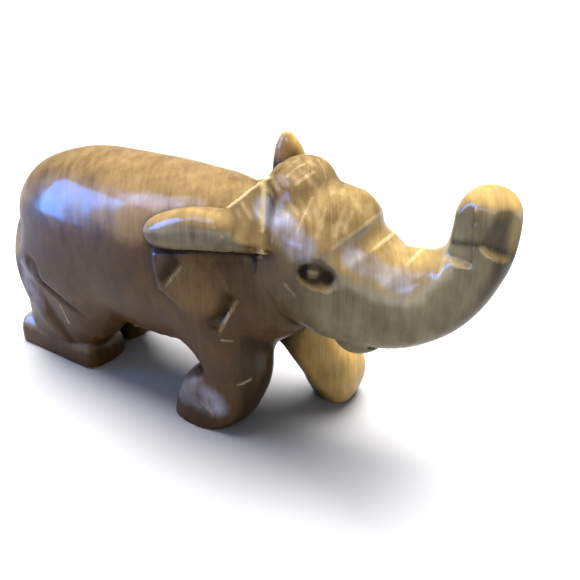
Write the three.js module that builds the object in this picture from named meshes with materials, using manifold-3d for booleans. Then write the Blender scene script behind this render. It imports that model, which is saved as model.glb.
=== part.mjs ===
// Hand-carved wooden elephant, walking with its trunk raised.
// Millimetres, +Z up, +X towards the trunk, +Y towards the elephant's left side.
// The origin is the middle of its footprint, on the surface that it stands on.
import * as THREE from 'three';
import { mergeVertices } from 'three/addons/utils/BufferGeometryUtils.js';
import Module from 'manifold-3d';

const wasm = await Module();
wasm.setup();

// Overall sizes
const BACK_HEIGHT = 91;
const BELLY_HEIGHT = 24.5;
const BODY_HALF_WIDTH = 27.5;
const HEAD_HALF_WIDTH = 21.5;

// The sizes below count X from the middle of the body; this point becomes the origin
const FOOTPRINT_MIDDLE = { x: -3.5, y: 1 };
const RIGHT = -1;
const LEFT = 1;

// Facets around and along each carved form
const BODY_FACETS = { around: 28, along: 26 };
const HEAD_FACETS = { around: 28, along: 36 };
const LEG_FACETS = { around: 16, along: 13 };
const SMALL_FACETS = { around: 12, along: 9 };

// How each form ends and how square its sections are: the share of its length that rounds off at
// the start and at the end, and a squareness of 2 for an ellipse
const BODY_ENDS = { startRound: 0.3, endRound: 0.1, squareness: 2.3 };
const HEAD_ENDS = { startRound: 0.05, endRound: 0.1, squareness: 2.2 };
const LEG_ENDS = { startRound: 0.25, endRound: 0.05, squareness: 2.8 };
const FOOT_ENDS = { startRound: 0.2, endRound: 0.12, squareness: 3.2 };
const TAIL_ENDS = { startRound: 0.1, endRound: 0.1, squareness: 3 };
const ROLL_ENDS = { startRound: 0.2, endRound: 0.1, squareness: 2.2 };
const EAR_TOP_ENDS = { startRound: 0.1, endRound: 0.2, squareness: 2.2 };

// Body: each station gives the height of the back and of the belly, and the half width
const BODY = [
  { x: -101, top: 84, bottom: 34, wide: 22 },
  { x: -80, top: 88.5, bottom: 28, wide: 24.5 },
  { x: -52, top: BACK_HEIGHT, bottom: BELLY_HEIGHT, wide: 26.5 },
  { x: -24, top: BACK_HEIGHT, bottom: BELLY_HEIGHT, wide: BODY_HALF_WIDTH },
  { x: 4, top: 90, bottom: 27, wide: 26 },
  { x: 24, top: 87, bottom: 36, wide: 21 },
  { x: 40, top: 84, bottom: 48, wide: 18 },
];

// Head and trunk: a spine in the middle plane, with half sizes across it
const HEAD = [
  { x: 27, z: 74, up: 20, down: 22, wide: 19.5 },
  { x: 40, z: 71, up: 22, down: 22.5, wide: HEAD_HALF_WIDTH },
  { x: 54, z: 65, up: 18.5, down: 20.5, wide: 19.5 },
  { x: 68, z: 63, up: 16, down: 16.5, wide: 14.5 },
  { x: 80, z: 68, up: 13.5, down: 12.5, wide: 12 },
  { x: 88.5, z: 79, up: 8.5, down: 9.5, wide: 10.5 },
  { x: 91, z: 90, up: 8.5, down: 8.5, wide: 9.5 },
  { x: 90, z: 101, up: 8, down: 7.5, wide: 9 },
];
const CROWN = { x: 34.5, z: 85, long: 10.3, wide: 14, high: 15.3, squareness: 2.5 };
const FOREHEAD = { x: 48.5, z: 79, long: 12, wide: 14, high: 14, squareness: 2.3 };
const LOWER_LIP = { x: 57, z: 45.5, long: 8, wide: 9, high: 5 };
const MOUTH = { x: 66, z: 46.5, long: 3.5, wide: 16, high: 1.3 };

// Scalloped cuts across the top of the trunk, at these shares of the spine
const SCALLOPS = [0.37, 0.435, 0.51, 0.585];
const SCALLOP = { radius: 7, depth: 1, length: 40, facets: 20 };

// Trunk tip, given for the right side: flat chisel cuts that leave a finger over a pointed lip. Each
// takes out what is behind all its faces; a face has a point on it and the way it faces
const TIP_BEND = { x: 91, y: -9.8, z: 88.7 };
const TIP_CREASE = { x: 89.3, y: -7.6, z: 93 };
const TIP_CAP_EDGE = { x: 90, y: -9.5, z: 97.6 };
const TIP_CUTS = [
  [
    { at: TIP_BEND, facing: { x: -0.694, y: 0.716, z: 0.075 } },
    { at: TIP_BEND, facing: { x: -0.649, y: 0.168, z: -0.743 } },
  ],
  [
    { at: { x: 90, y: -9.5, z: 89 }, facing: { x: 0, y: 0.97, z: -0.22 } },
    { at: TIP_CAP_EDGE, facing: { x: 0, y: 0.15, z: 1 } },
    { at: TIP_CREASE, facing: { x: -1, y: 0, z: -0.15 } },
  ],
  [
    { at: TIP_CREASE, facing: { x: 0.3, y: 0.95, z: -0.12 } },
    { at: TIP_CAP_EDGE, facing: { x: 0, y: 0.15, z: 1 } },
    { at: TIP_CREASE, facing: { x: 1, y: 0, z: 0.15 } },
  ],
];
const TIP_REACH = 9;
const TIP_CROSS_CUT = {
  from: { x: 82, y: -7.4, z: 86 },
  to: { x: 92, y: -10.4, z: 88.4 },
  wide: 1.2,
  deep: 4,
};

// Eye: a socket cut into each side of the head, with the ball left standing in it
const EYE = { x: 50.5, y: 18.6, z: 73 };
const EYE_SOCKET = { long: 5.2, wide: 3.6, high: 4 };
const EYEBALL = { long: 3, wide: 3.9, high: 2.5 };

// Ears, given for the right side: a rolled rear edge, a front part up the head and a hanging flap
const EAR_ROLL = [
  { x: -9, y: -23.5, z: 74.5, up: 4, down: 3.5, wide: 5 },
  { x: 1, y: -24.5, z: 78, up: 6, down: 6, wide: 5.8 },
  { x: 12, y: -24.5, z: 81, up: 6.5, down: 6.5, wide: 6 },
  { x: 26.5, y: -23, z: 83, up: 5.5, down: 6.5, wide: 6 },
];
const LEFT_ROLL_HEIGHT = 0.5;
const EAR_FOLD_TOP = { x: 22.6, y: -22.5, z: 89.5 };
const EAR_FRONT = [
  { at: EAR_FOLD_TOP, facing: { x: 0.405, y: -0.754, z: 0.516 } },
  { at: { x: 23.5, y: -27, z: 80 }, facing: { x: 0.28, y: -0.91, z: 0.3 } },
  { at: { x: 23.5, y: -27, z: 78.5 }, facing: { x: 0.22, y: -0.8, z: -0.55 } },
  { at: EAR_FOLD_TOP, facing: { x: -0.811, y: 0.168, z: 0.561 } },
  { at: { x: 33.7, y: -22, z: 83 }, facing: { x: 0.9, y: -0.225, z: 0.372 } },
  { at: { x: 28, y: -25, z: 73 }, facing: { x: 0.25, y: -0.2, z: -1 } },
];
const EAR_FRONT_BLANK = { middle: { x: 27, y: -16, z: 86 }, reach: 13 };
const RAISED_TIP = [
  { x: 22, y: 15, z: 76, up: 8, down: 9, wide: 6 },
  { x: 21.7, y: 15.3, z: 86, up: 8, down: 8, wide: 5 },
  { x: 21, y: 15, z: 94, up: 6.5, down: 6, wide: 4 },
  { x: 20, y: 13.5, z: 104, up: 2.8, down: 2.5, wide: 2 },
];
const EAR_FLAP = {
  rear: { x: -5, z: 71 },
  front: { x: 36, z: 80 },
  tip: { x: 19.5, z: 44 },
  bulge: 4,
  reach: 60,
  thick: 2.4,
  curveFacets: 6,
};
const EAR_UNDERCUT = {
  from: { x: -8, y: -28.5, z: 69.5 },
  to: { x: 31, y: -23.5, z: 76 },
  wide: 2.2,
  deep: 8,
};
const EAR_HOLLOWS = [
  { top: { x: 6.6, y: -29.2, z: 68.3 }, foot: { x: -0.4, y: -29.6, z: 59.4 }, deep: 3.2, broad: 5.5 },
  { top: { x: 24, y: -24.8, z: 59 }, foot: { x: 17.8, y: -25.2, z: 46 }, deep: 3.6, broad: 6 },
];
const HOLLOW_WALL_LEAN = 0.3;
const HOLLOW_END_LEAN = 0.6;

// Legs: from inside the body down past the sole, with half sizes forward, back and across
const FRONT_RIGHT_LEG = [
  { x: 6, y: -12, z: 66, fore: 18, aft: 20, wide: 12 },
  { x: 11, y: -12, z: 44, fore: 14, aft: 17, wide: 12.5 },
  { x: 14, y: -12, z: 24, fore: 13, aft: 8, wide: 12.5 },
  { x: 6.5, y: -12, z: 10, fore: 14.5, aft: 13.5, wide: 12 },
  { x: 0, y: -15, z: -9, fore: 3, aft: 12.5, wide: 9.5 },
];
const FRONT_LEFT_LEG = [
  { x: 10, y: 12, z: 66, fore: 18, aft: 20, wide: 12 },
  { x: 19, y: 14, z: 44, fore: 13, aft: 13, wide: 11 },
  { x: 29, y: 18, z: 26, fore: 11, aft: 10, wide: 10.5 },
  { x: 37, y: 21.5, z: 13, fore: 11.5, aft: 11, wide: 11 },
  { x: 37.5, y: 24, z: -8, fore: 3.5, aft: 6, wide: 5.5 },
];
const HIND_RIGHT_LEG = [
  { x: -68, y: -12, z: 62, fore: 26, aft: 24, wide: 13 },
  { x: -68, y: -12, z: 42, fore: 30, aft: 26, wide: 13 },
  { x: -76, y: -11, z: 24, fore: 26, aft: 20, wide: 11 },
  { x: -79, y: -10, z: 12, fore: 22, aft: 20, wide: 9.5 },
  { x: -80, y: -10, z: -8, fore: 18, aft: 18, wide: 8.5 },
];
const HIND_LEFT_LEG = [
  { x: -68, y: 12.5, z: 62, fore: 26, aft: 24, wide: 13 },
  { x: -68, y: 13, z: 42, fore: 30, aft: 25, wide: 12.5 },
  { x: -75, y: 13, z: 24, fore: 25, aft: 19, wide: 10.5 },
  { x: -77, y: 13, z: 12, fore: 21, aft: 18, wide: 9.5 },
  { x: -78, y: 13, z: -8, fore: 18, aft: 16, wide: 9 },
];
const HIND_RIGHT_FOOT = { x: -80.5, y: -10, length: 52, halfWidth: 10.5, height: 13.5 };
const HIND_LEFT_FOOT = { x: -78.5, y: 13.5, length: 40, halfWidth: 10, height: 12 };

// Tail: it comes off the middle of the rump and lies down the right thigh to the foot
const TAIL = [
  { x: -95.3, y: 0, z: 74, up: 3, down: 3, wide: 4 },
  { x: -96, y: -2, z: 64, up: 3, down: 3, wide: 4 },
  { x: -93.8, y: -11, z: 54, up: 3.2, down: 3.2, wide: 4 },
  { x: -87.5, y: -18.5, z: 44, up: 3.8, down: 3.8, wide: 4 },
  { x: -80.5, y: -21.8, z: 32, up: 4.4, down: 4.4, wide: 3.2 },
  { x: -69, y: -19.5, z: 11, up: 5, down: 5, wide: 2.8 },
];

// What is cut away below the soles, and how close two corners of a form are one
const GROUND = { side: 400, depth: 20 };
const SAME_POINT = 1e-3;

/** A manifold solid made from a closed three.js geometry. */
function solid(geometry) {
  geometry.deleteAttribute('normal');
  geometry.deleteAttribute('uv');
  const merged = mergeVertices(geometry, SAME_POINT);
  return new wasm.Manifold(new wasm.Mesh({
    numProp: 3,
    vertProperties: new Float32Array(merged.attributes.position.array),
    triVerts: new Uint32Array(merged.index.array),
  }));
}

/** A cosine or sine bent towards a square section; 2 keeps the ellipse. */
function squared(value, squareness) {
  return Math.sign(value) * Math.abs(value) ** (2 / squareness);
}

/** How far a section has opened at a fraction of the length, for an end rounded over a share of it. */
function opening(fraction, share) {
  const left = Math.min(fraction / share, 1);
  return Math.sqrt(1 - (1 - left) ** 2);
}

/**
 * A closed form along a smooth spine: a sphere whose rings are laid across it. Stations give the
 * spine's point and the half sizes upward, downward and across; both ends are rounded.
 */
function carvedForm(stations, facets, { startRound, endRound, squareness }) {
  const spine = new THREE.CatmullRomCurve3(
    stations.map(({ x, y = 0, z }) => new THREE.Vector3(x, y, z)));
  const sizes = new THREE.CatmullRomCurve3(
    stations.map(({ up, down, wide }) => new THREE.Vector3(wide, up, down)));
  const form = new THREE.SphereGeometry(1, facets.around, facets.along);
  const ring = form.attributes.position;
  const across = new THREE.Vector3();
  const over = new THREE.Vector3();
  for (let i = 0; i < ring.count; i += 1) {
    const fraction = (1 - ring.getY(i)) / 2;
    const angle = Math.atan2(ring.getZ(i), ring.getX(i));
    const open = opening(fraction, startRound) * opening(1 - fraction, endRound);
    const size = sizes.getPoint(fraction);
    const tangent = spine.getTangent(fraction);
    across.set(0, 1, 0).addScaledVector(tangent, -tangent.y).normalize();
    over.crossVectors(tangent, across);
    const side = squared(Math.cos(angle), squareness) * size.x * open;
    const rise = squared(Math.sin(angle), squareness) * (Math.sin(angle) > 0 ? size.y : size.z) * open;
    const point = spine.getPoint(fraction).addScaledVector(across, side).addScaledVector(over, rise);
    ring.setXYZ(i, point.x, point.y, point.z);
  }
  return solid(form);
}

/** An ellipsoid with half sizes along X, Y and Z, which may be squarer than an ellipse. */
function bump({ x, y = 0, z, long, wide, high, squareness = 2 }, facets = SMALL_FACETS) {
  const ball = new THREE.SphereGeometry(1, facets.around, facets.along);
  ball.rotateX(Math.PI / 2);
  const corner = ball.attributes.position;
  for (let i = 0; i < corner.count; i += 1) {
    const [along, across, up] = [corner.getX(i), corner.getY(i), corner.getZ(i)];
    corner.setXYZ(i, squared(along, squareness), squared(across, squareness), squared(up, squareness));
  }
  return solid(ball.scale(long, wide, high).translate(x, y, z));
}

/** What is left of a square blank behind flat faces. */
function behind(faces, { middle, reach }) {
  const blank = new THREE.BoxGeometry(2 * reach, 2 * reach, 2 * reach);
  return faces.reduce((left, { at, facing }) => {
    const inward = new THREE.Vector3(facing.x, facing.y, facing.z).normalize().negate();
    return left.trimByPlane(inward.toArray(), inward.dot(at));
  }, solid(blank.translate(middle.x, middle.y, middle.z)));
}

/** A chip on the right side: a steep wall along a line, and a floor that rises from its foot. */
function gouge({ top, foot, deep, broad }) {
  const start = new THREE.Vector3(top.x, top.y, top.z);
  const end = new THREE.Vector3(foot.x, foot.y, foot.z);
  const run = end.clone().sub(start).normalize();
  const out = new THREE.Vector3(0, RIGHT, 0);
  const ahead = new THREE.Vector3().crossVectors(out, run).normalize();
  const floorStart = start.clone().addScaledVector(out, -deep);
  const faces = [
    { at: start, facing: ahead.clone().addScaledVector(out, -HOLLOW_WALL_LEAN) },
    { at: floorStart, facing: out.clone().multiplyScalar(-broad).addScaledVector(ahead, -deep) },
    { at: end, facing: run.clone().addScaledVector(out, -HOLLOW_END_LEAN) },
    { at: start, facing: run.clone().negate().addScaledVector(out, -HOLLOW_END_LEAN) },
  ];
  const reach = start.distanceTo(end) / 2 + broad;
  return behind(faces, { middle: start.lerp(end, 0.5), reach });
}

/** The body from rump to neck, made fatter all round by a margin. */
function body(margin = 0) {
  const stations = BODY.map(({ x, top, bottom, wide }) => {
    const half = (top - bottom) / 2 + margin;
    return { x, z: (top + bottom) / 2, up: half, down: half, wide: wide + margin };
  });
  return carvedForm(stations, BODY_FACETS, BODY_ENDS);
}

/** A cylinder across the trunk whose lower side scoops its top at a share of the head's spine. */
function scallop(share) {
  const spine = new THREE.CatmullRomCurve3(HEAD.map(({ x, z }) => new THREE.Vector3(x, 0, z)));
  const heights = new THREE.CatmullRomCurve3(HEAD.map(({ up }) => new THREE.Vector3(up, 0, 0)));
  const point = spine.getPoint(share);
  const over = new THREE.Vector3().crossVectors(spine.getTangent(share), new THREE.Vector3(0, 1, 0));
  point.addScaledVector(over, heights.getPoint(share).x + SCALLOP.radius - SCALLOP.depth);
  const scoop = new THREE.CylinderGeometry(SCALLOP.radius, SCALLOP.radius, SCALLOP.length, SCALLOP.facets);
  return solid(scoop.translate(point.x, point.y, point.z));
}

/** A flat chisel cut along a line, as wide and as deep as given, going in across the carving. */
function chiselCut({ from, to, wide, deep }) {
  const start = new THREE.Vector3(from.x, from.y, from.z);
  const end = new THREE.Vector3(to.x, to.y, to.z);
  const along = end.clone().sub(start);
  const cut = new THREE.BoxGeometry(along.length(), deep, wide);
  const turn = new THREE.Quaternion();
  turn.setFromUnitVectors(new THREE.Vector3(1, 0, 0), along.clone().normalize());
  const middle = start.lerp(end, 0.5);
  return solid(cut.applyQuaternion(turn).translate(middle.x, middle.y, middle.z));
}

/** The same piece on the other side of the middle plane. */
function mirrored(shape) {
  return shape.mirror([0, 1, 0]);
}

/** What the chisel takes out of the right side of the trunk's tip. */
function tipCuts() {
  return TIP_CUTS.reduce(
    (cuts, faces) => cuts.add(behind(faces, { middle: TIP_BEND, reach: TIP_REACH })),
    chiselCut(TIP_CROSS_CUT));
}

/** The head and the trunk, as one form that narrows and curls up. */
function head() {
  let form = carvedForm(HEAD, HEAD_FACETS, HEAD_ENDS)
    .add(bump(CROWN))
    .add(bump(FOREHEAD))
    .add(bump(LOWER_LIP))
    .subtract(bump(MOUTH))
    .subtract(tipCuts())
    .subtract(mirrored(tipCuts()));
  for (const share of SCALLOPS) {
    form = form.subtract(scallop(share));
  }
  for (const side of [RIGHT, LEFT]) {
    const eye = { x: EYE.x, y: side * EYE.y, z: EYE.z };
    form = form.subtract(bump({ ...eye, ...EYE_SOCKET })).add(bump({ ...eye, ...EYEBALL }));
  }
  return form;
}

/** The hanging flap of the right ear: a three-cornered piece of a skin laid over the shoulder. */
function earFlap({ rear, front, tip, bulge, reach, thick, curveFacets }) {
  const outline = new THREE.Shape();
  outline.moveTo(rear.x, rear.z);
  outline.lineTo(front.x, front.z);
  outline.quadraticCurveTo(front.x, (front.z + tip.z) / 2, tip.x, tip.z);
  outline.quadraticCurveTo(rear.x + bulge, (rear.z + tip.z) / 2, rear.x, rear.z);
  const prism = new THREE.ExtrudeGeometry(outline, {
    depth: reach, curveSegments: curveFacets, bevelEnabled: false });
  prism.rotateX(Math.PI / 2);
  return solid(prism).intersect(body(thick));
}

/** The right ear without its hollows: the roll, the front part and the flap. */
function rightEar() {
  return carvedForm(EAR_ROLL, SMALL_FACETS, ROLL_ENDS)
    .add(behind(EAR_FRONT, EAR_FRONT_BLANK))
    .add(earFlap(EAR_FLAP));
}

/** The left ear: the same flap, a lower roll, and a front part that stands up in a point. */
function leftEar() {
  const roll = EAR_ROLL.map((station) => ({ ...station, up: station.up * LEFT_ROLL_HEIGHT }));
  return mirrored(carvedForm(roll, SMALL_FACETS, ROLL_ENDS))
    .add(mirrored(earFlap(EAR_FLAP)))
    .add(carvedForm(RAISED_TIP, SMALL_FACETS, EAR_TOP_ENDS));
}

/** What the chisel takes out round the right ear: the groove under the roll and two hollows. */
function earCuts() {
  return EAR_HOLLOWS.reduce((cuts, hollow) => cuts.add(gouge(hollow)), chiselCut(EAR_UNDERCUT));
}

/** A leg, from inside the body to just under the sole. */
function leg(stations) {
  const column = stations.map(({ x, y, z, fore, aft, wide }) => ({ x, y, z, up: fore, down: aft, wide }));
  return carvedForm(column, LEG_FACETS, LEG_ENDS);
}

/** A hind foot that stands out round its leg like a low boot. */
function hindFoot({ x, y, length, halfWidth, height }) {
  const stations = [-1, -0.5, 0.5, 1].map((step) => (
    { x: x + (step * length) / 2, y, z: 0, up: height, down: height, wide: halfWidth }));
  return carvedForm(stations, LEG_FACETS, FOOT_ENDS);
}

/** Everything under the surface that the elephant stands on. */
function underground() {
  const slab = new THREE.BoxGeometry(GROUND.side, GROUND.side, GROUND.depth);
  return solid(slab.translate(0, 0, -GROUND.depth / 2));
}

/** The whole carving as one solid. */
function elephant() {
  return body()
    .add(head())
    .add(leg(FRONT_RIGHT_LEG))
    .add(leg(FRONT_LEFT_LEG))
    .add(leg(HIND_RIGHT_LEG))
    .add(leg(HIND_LEFT_LEG))
    .add(hindFoot(HIND_RIGHT_FOOT))
    .add(hindFoot(HIND_LEFT_FOOT))
    .add(carvedForm(TAIL, SMALL_FACETS, TAIL_ENDS))
    .add(rightEar())
    .add(leftEar())
    .subtract(earCuts())
    .subtract(mirrored(earCuts()))
    .subtract(underground())
    .translate([-FOOTPRINT_MIDDLE.x, -FOOTPRINT_MIDDLE.y, 0]);
}

/** A three.js geometry holding a manifold solid's triangles. */
function geometryOf(shape) {
  const { vertProperties, triVerts } = shape.getMesh();
  const geometry = new THREE.BufferGeometry();
  geometry.setAttribute('position', new THREE.BufferAttribute(vertProperties, 3));
  geometry.setIndex(new THREE.BufferAttribute(triVerts, 1));
  geometry.computeVertexNormals();
  return geometry;
}

const wood = new THREE.MeshStandardMaterial({ color: 0xa08058, roughness: 0.4, metalness: 0 });
const figure = new THREE.Mesh(geometryOf(elephant()), wood);
figure.name = 'elephant';

const model = new THREE.Group();
model.add(figure);
export default model;
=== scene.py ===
"""Hand-carved wooden elephant, walking with its trunk raised and curled.

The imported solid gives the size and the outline. Here the same elephant is carved again as one
fine mesh. A block of small cells holds the distance from each cell corner to the surface; forms
are joined into it, chisels cut it, and its skin is then meshed and finished as waxed wood.
Sizes are in millimetres, with +X towards the trunk, +Y towards the elephant's left and +Z up.
"""

import sys
import logging
import math
from dataclasses import dataclass, field, replace
from enum import Enum
from typing import Callable, ClassVar

import bpy
import numpy as np
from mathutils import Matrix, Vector


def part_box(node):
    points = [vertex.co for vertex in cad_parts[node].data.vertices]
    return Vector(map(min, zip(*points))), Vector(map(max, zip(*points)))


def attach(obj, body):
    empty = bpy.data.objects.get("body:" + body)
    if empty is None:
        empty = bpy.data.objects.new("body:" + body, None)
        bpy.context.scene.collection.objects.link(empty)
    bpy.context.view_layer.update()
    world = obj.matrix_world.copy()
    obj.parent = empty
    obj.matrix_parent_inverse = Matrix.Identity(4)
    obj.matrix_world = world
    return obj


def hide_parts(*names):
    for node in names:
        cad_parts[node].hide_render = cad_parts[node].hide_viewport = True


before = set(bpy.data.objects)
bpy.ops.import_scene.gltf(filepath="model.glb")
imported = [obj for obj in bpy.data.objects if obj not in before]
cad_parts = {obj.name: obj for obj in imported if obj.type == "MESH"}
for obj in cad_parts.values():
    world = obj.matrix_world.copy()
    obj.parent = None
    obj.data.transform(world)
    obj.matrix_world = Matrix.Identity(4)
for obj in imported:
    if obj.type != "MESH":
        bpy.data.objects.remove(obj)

MM = 0.001
FAR = 30.0  # stands for the distance from the wood in cells that no form has reached
SHIFT = (3.5, -1.0, 0.0)  # from the carving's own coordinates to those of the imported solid
CUBE = [(i, j, k) for i in (0, 1) for j in (0, 1) for k in (0, 1)]
log = logging.getLogger("elephant")

Coordinates = tuple[np.ndarray, np.ndarray, np.ndarray]
Corners = tuple[np.ndarray, np.ndarray]
Point = tuple[float, float, float]
Stroke = tuple[Point, Point, float]
Stretch = tuple[float, float, float]


class Side(Enum):
    """A side of the elephant, as the sign of Y."""

    RIGHT = -1
    LEFT = 1


def smooth_step(low: float, high: float, value: np.ndarray) -> np.ndarray:
    """Rise smoothly from 0 at low to 1 at high, or fall where high is below low."""
    share = np.clip((value - low) / (high - low), 0.0, 1.0)
    return share * share * (3.0 - 2.0 * share)


def joined(first: np.ndarray, second: np.ndarray, blend: float) -> np.ndarray:
    """Distances to two surfaces united, with a rounded crease of the width blend."""
    share = np.maximum(blend - np.abs(first - second), 0.0) / blend
    return np.minimum(first, second) - share * share * blend * 0.25


def carved(first: np.ndarray, second: np.ndarray, blend: float) -> np.ndarray:
    """Distances to what two surfaces both enclose, with a rounded edge of the width blend."""
    return -joined(-first, -second, blend)


def around(points: np.ndarray, reach: float) -> Corners:
    """Lowest and highest corner of what is within reach of the points."""
    return points.min(0) - reach, points.max(0) + reach


@dataclass(frozen=True)
class Station:
    """A cross-section on a form's spine: its centre and its half sizes."""

    x: float
    y: float
    z: float
    up: float
    down: float
    wide: float


@dataclass(frozen=True)
class Ends:
    """How a form ends and how square its sections are; a squareness of 2 is an ellipse."""

    start: float = 0.3
    end: float = 0.1
    squareness: float = 2.2


@dataclass(frozen=True)
class CarvedForm:
    """A closed form along a smooth spine, with rounded ends."""

    stations: tuple[Station, ...]
    ends: Ends = Ends()
    samples: int = 90
    least_slope: ClassVar[float] = 0.012

    def smooth(self, values: np.ndarray) -> np.ndarray:
        """Run a centripetal curve through one row of values for each station.

        Args:
            values: Rows of three numbers.

        Returns:
            Rows of the curve at even shares of its stations.
        """
        first = 2.0 * values[0] - values[1]
        last = 2.0 * values[-1] - values[-2]
        padded = np.vstack([first, values, last])
        gaps = np.maximum(np.sum(np.diff(padded, axis=0) ** 2, axis=1) ** 0.25, 1e-3)
        rows = []
        for share in np.linspace(0.0, len(values) - 1.0, self.samples):
            k = min(int(share), len(values) - 2)
            w = share - k
            a, b, c, d = padded[k : k + 4]
            g0, g1, g2 = gaps[k : k + 3]
            t1 = ((b - a) / g0 - (c - a) / (g0 + g1) + (c - b) / g1) * g1
            t2 = ((c - b) / g1 - (d - b) / (g1 + g2) + (d - c) / g2) * g1
            rows.append(
                b + t1 * w + (3 * (c - b) - 2 * t1 - t2) * w**2 + (2 * (b - c) + t1 + t2) * w**3
            )
        return np.array(rows)

    def centres(self) -> np.ndarray:
        """Rows of the stations' centres."""
        return np.array([(s.x, s.y, s.z) for s in self.stations])

    def bounds(self) -> Corners:
        """Lowest and highest corner that the form can reach."""
        return around(self.centres(), max(max(s.up, s.down, s.wide) for s in self.stations))

    def distance(self, place: Coordinates, cell: float, margin: float = 0.0) -> np.ndarray:
        """Measure how far points are from the form.

        Args:
            place: Coordinates of a block of points.
            cell: Distance between neighbouring points.
            margin: Thickness of a skin added all round.

        Returns:
            Distances, negative inside.
        """
        centre = self.smooth(self.centres())
        size = self.smooth(np.array([(s.wide, s.up, s.down) for s in self.stations])) + margin
        step = np.diff(centre, axis=0)
        along = np.concatenate([[0.0], np.cumsum(np.linalg.norm(step, axis=1))])
        tangent = np.gradient(centre, along, axis=0)
        tangent /= np.linalg.norm(tangent, axis=1, keepdims=True)
        x, y, z = place
        nearest = np.zeros(x.shape, np.int16)
        best = np.full(x.shape, np.inf, np.float32)
        for k, (cx, cy, cz) in enumerate(centre):
            gap = (x - cx) ** 2 + (y - cy) ** 2 + (z - cz) ** 2
            closer = gap < best
            best[closer] = gap[closer]
            nearest[closer] = k
        s = along[nearest]
        for i, value in enumerate(place):
            s += (value - centre[nearest, i]) * tangent[nearest, i]
        before, after = np.minimum(s, 0.0), np.maximum(s - along[-1], 0.0)
        at = [np.interp(s, along, centre[:, i]) for i in range(3)]
        turn = [np.interp(s, along, tangent[:, i]) for i in range(3)]
        gone = [
            value - at[i] - before * tangent[0, i] - after * tangent[-1, i]
            for i, value in enumerate(place)
        ]
        tx, ty, tz = turn
        ax, ay, az = -tx * ty, 1.0 - ty * ty, -tz * ty
        long = np.sqrt(ax * ax + ay * ay + az * az)
        ax, ay, az = ax / long, ay / long, az / long
        ox, oy, oz = ty * az - tz * ay, tz * ax - tx * az, tx * ay - ty * ax
        across = gone[0] * ax + gone[1] * ay + gone[2] * az
        over = gone[0] * ox + gone[1] * oy + gone[2] * oz
        wide = np.interp(s, along, size[:, 0])
        high = np.where(
            over > 0, np.interp(s, along, size[:, 1]), np.interp(s, along, size[:, 2])
        )
        n = self.ends.squareness
        section = (np.abs(across) / wide) ** n + (np.abs(over) / high) ** n
        share = np.linspace(0.0, 1.0, self.samples)
        part = np.interp(s, along, share)
        part += before * share[1] / along[1] + after * share[1] / (along[-1] - along[-2])
        start = np.maximum(self.ends.start - part, 0.0) / self.ends.start
        end = np.maximum(self.ends.end - 1.0 + part, 0.0) / self.ends.end
        value = np.sqrt(section ** (2.0 / n) + start**2 + end**2)
        slopes = np.gradient(value, cell)
        steep = np.sqrt(sum(g * g for g in slopes))
        return ((value - 1.0) / np.maximum(steep, self.least_slope)).astype(np.float32)


@dataclass(frozen=True)
class Ball:
    """An ellipsoid, which may be turned in the XZ plane or made squarer than an ellipse."""

    x: float
    y: float
    z: float
    long: float
    wide: float
    high: float
    turned: float = 0.0
    squareness: float = 2.0
    least_slope: ClassVar[float] = 0.03

    def bounds(self) -> Corners:
        """Lowest and highest corner that the ball can reach."""
        return around(np.array([(self.x, self.y, self.z)]), max(self.long, self.wide, self.high))

    def distance(self, place: Coordinates, cell: float) -> np.ndarray:
        """Measure how far points are from the ball.

        Args:
            place: Coordinates of a block of points.
            cell: Distance between neighbouring points.

        Returns:
            Distances, negative inside.
        """
        c, s = math.cos(math.radians(self.turned)), math.sin(math.radians(self.turned))
        dx, dy, dz = place[0] - self.x, place[1] - self.y, place[2] - self.z
        u, v = dx * c + dz * s, dz * c - dx * s
        parts = [np.abs(u) / self.long, np.abs(dy) / self.wide, np.abs(v) / self.high]
        near = sum(part**self.squareness for part in parts) ** (1.0 / self.squareness)
        steep = np.sqrt(sum(slope * slope for slope in np.gradient(near, cell)))
        return (near - 1.0) / np.maximum(steep, self.least_slope)


@dataclass(frozen=True)
class Groove:
    """A chisel cut along a line: narrow one way and deep the other, fading at its ends."""

    start: Point
    end: Point
    wide: float
    deep: float

    def bounds(self) -> Corners:
        """Lowest and highest corner that the cut can reach."""
        return around(np.array([self.start, self.end]), self.deep)

    def distance(self, place: Coordinates, cell: float) -> np.ndarray:
        """Measure how far points are from the cut.

        Args:
            place: Coordinates of a block of points.
            cell: Distance between neighbouring points.

        Returns:
            Distances, negative inside.
        """
        a, b = np.array(self.start, float), np.array(self.end, float)
        line = b - a
        run = float(np.linalg.norm(line))
        line /= run
        gone = [place[i] - a[i] for i in range(3)]
        t = np.clip(sum(gone[i] * line[i] for i in range(3)), 0.0, run)
        off = [gone[i] - t * line[i] for i in range(3)]
        outward = np.array([0.0, 1.0, 0.0])
        outward -= line * line[1]
        outward /= np.linalg.norm(outward)
        level = sum(off[i] * outward[i] for i in range(3))
        rest = np.sqrt(np.maximum(sum(o * o for o in off) - level * level, 0.0))
        near = np.sqrt((level / self.deep) ** 2 + (rest / self.wide) ** 2)
        fall = np.sqrt((level / self.deep**2) ** 2 + (rest / self.wide**2) ** 2)
        return near * (near - 1.0) / np.maximum(fall, 1e-6)


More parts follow.
